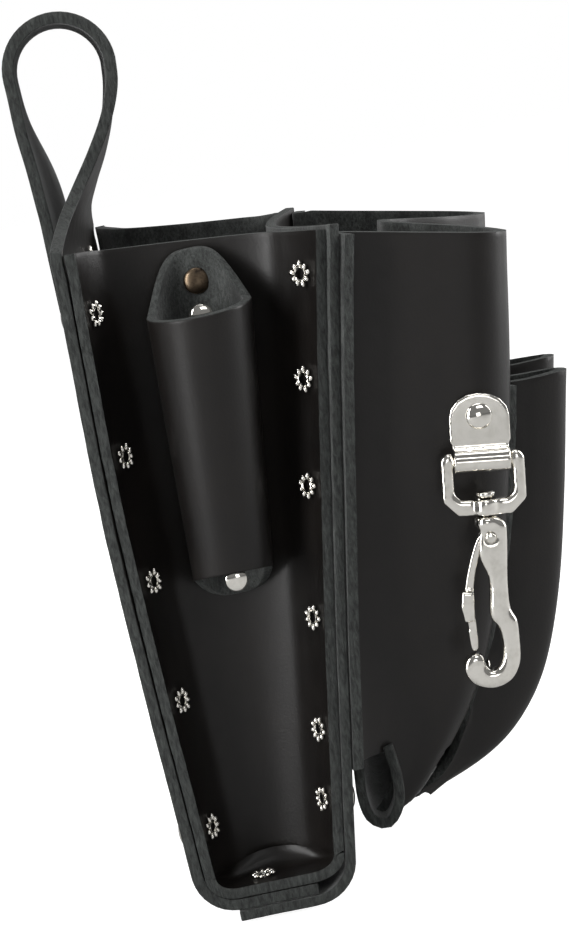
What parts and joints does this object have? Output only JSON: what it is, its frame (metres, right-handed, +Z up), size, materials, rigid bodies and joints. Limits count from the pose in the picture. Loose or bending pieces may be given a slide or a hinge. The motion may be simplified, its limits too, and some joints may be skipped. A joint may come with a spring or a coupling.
{
  "type": "leather tool pouch",
  "caption": "Riveted black leather tool pouch that hangs from a belt loop, with open pockets, a side tool sleeve and a swivel snap.",
  "frame": {"origin": "inside of the belt loop at its crown, on the centre line, where the pouch hangs from a belt", "axes": "+Z up, +Y towards the wearer, X along the belt"},
  "size_m": [0.1648, 0.1718, 0.3114],
  "materials": {
    "black_leather": "oiled full grain, raw edges",
    "nickel_rivet": "nickel plated, lightly worn",
    "antique_rivet": "antique nickel over brass",
    "nickel_snap": "bright nickel plate"
  },
  "bodies": {
    "pouch": {"back_panel_with_belt_loop": "black_leather", "belt_loop_rivet_1": "nickel_rivet", "belt_loop_rivet_2": "nickel_rivet", "front_panel": "black_leather", "left_back_rivet_1": "nickel_rivet", "left_back_rivet_2": "nickel_rivet", "left_back_rivet_3": "nickel_rivet", "left_back_rivet_4": "nickel_rivet", "left_back_rivet_5": "nickel_rivet", "left_floor_rivet": "nickel_rivet", "left_front_rivet_1": "nickel_rivet", "left_front_rivet_2": "nickel_rivet", "left_front_rivet_3": "nickel_rivet", "left_front_rivet_4": "nickel_rivet", "left_front_rivet_5": "nickel_rivet", "left_front_rivet_6": "nickel_rivet", "left_gusset": "black_leather", "left_lower_pocket_rivet_1": "nickel_rivet", "left_lower_pocket_rivet_2": "nickel_rivet", "left_lower_pocket_rivet_3": "nickel_rivet", "lower_pocket_leather": "black_leather", "pocket_foot_rivet_1": "nickel_rivet", "pocket_foot_rivet_2": "nickel_rivet", "pocket_valley_rivet_1": "nickel_rivet", "pocket_valley_rivet_2": "nickel_rivet", "pocket_valley_rivet_3": "nickel_rivet", "right_back_rivet_1": "nickel_rivet", "right_back_rivet_2": "nickel_rivet", "right_back_rivet_3": "nickel_rivet", "right_back_rivet_4": "nickel_rivet", "right_back_rivet_5": "nickel_rivet", "right_floor_rivet": "nickel_rivet", "right_front_rivet_1": "nickel_rivet", "right_front_rivet_2": "nickel_rivet", "right_front_rivet_3": "nickel_rivet", "right_front_rivet_4": "nickel_rivet", "right_front_rivet_5": "nickel_rivet", "right_front_rivet_6": "nickel_rivet", "right_gusset": "black_leather", "right_lower_pocket_rivet_1": "nickel_rivet", "right_lower_pocket_rivet_2": "nickel_rivet", "right_lower_pocket_rivet_3": "nickel_rivet", "sleeve_flap_rivet": "antique_rivet", "sleeve_foot_rivet": "nickel_rivet", "sleeve_mouth_rivet": "nickel_rivet", "snap_plate": "nickel_snap", "snap_plate_rivet": "nickel_rivet", "tool_sleeve": "black_leather", "upper_pocket_leather": "black_leather"},
    "eye": {"snap_eye": "nickel_snap"},
    "snap": {"snap_body": "nickel_snap", "snap_lever_pin": "nickel_snap"},
    "lever": {"snap_lever": "nickel_snap"}
  },
  "joints": [
    {"name": "eye_hinge", "type": "hinge", "parent": "pouch", "child": "eye", "pos_m": [-0.0675, -0.1105, -0.1685], "axis": [0, 0.9903, 0.1392], "range_deg": [0, 100]},
    {"name": "snap_swivel", "type": "hinge", "parent": "eye", "child": "snap", "pos_m": [-0.0675, -0.10871, -0.1834], "axis": [0, -0.1392, 0.9903], "continuous": true},
    {"name": "lever_hinge", "type": "hinge", "parent": "snap", "child": "lever", "pos_m": [-0.0675, -0.10814, -0.19392], "axis": [-1, 0, 0], "range_deg": [0, 10], "stiffness_Nm_per_rad": 0.05, "springref_deg": -11.46}
  ]
}
